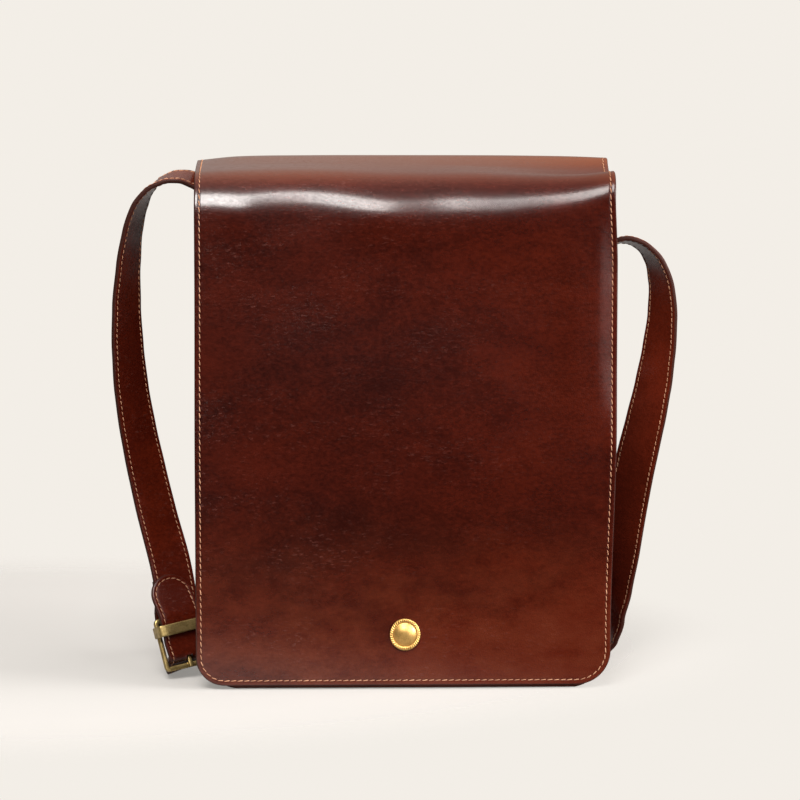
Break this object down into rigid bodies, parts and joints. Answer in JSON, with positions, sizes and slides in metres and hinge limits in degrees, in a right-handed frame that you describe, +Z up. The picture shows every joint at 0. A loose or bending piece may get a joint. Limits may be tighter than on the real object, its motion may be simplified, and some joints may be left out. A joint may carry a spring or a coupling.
{
  "type": "leather crossbody bag",
  "caption": "Tall flat leather crossbody bag: open pocket under a full-length flap with a brass stud, and a stitched strap from side to side that fastens with a brass buckle.",
  "frame": {"origin": "middle of the flat base of the pocket, on the floor", "axes": "+X to the right in the picture, +Y to the back, +Z up"},
  "size_m": [0.3973, 0.1489, 0.3675],
  "materials": {
    "pocket_leather": "waxed red-brown grain leather, walls about 2 mm",
    "flap_leather": "glossy waxed red-brown grain leather, two layers, dark burnished edges, tan thread",
    "strap_leather": "waxed red-brown leather, two layers, dark edges, tan thread",
    "buckle_brass": "antique satin brass",
    "stud_brass": "worn gold-coloured brass"
  },
  "bodies": {
    "root": {"gusset": "pocket_leather", "front_panel": "pocket_leather", "back_panel": "pocket_leather", "flap": "flap_leather", "strap_left": "strap_leather", "strap_right": "strap_leather", "buckle_frame": "buckle_brass", "buckle_prong": "buckle_brass", "clasp_stud": "stud_brass"}
  },
  "joints": []
}
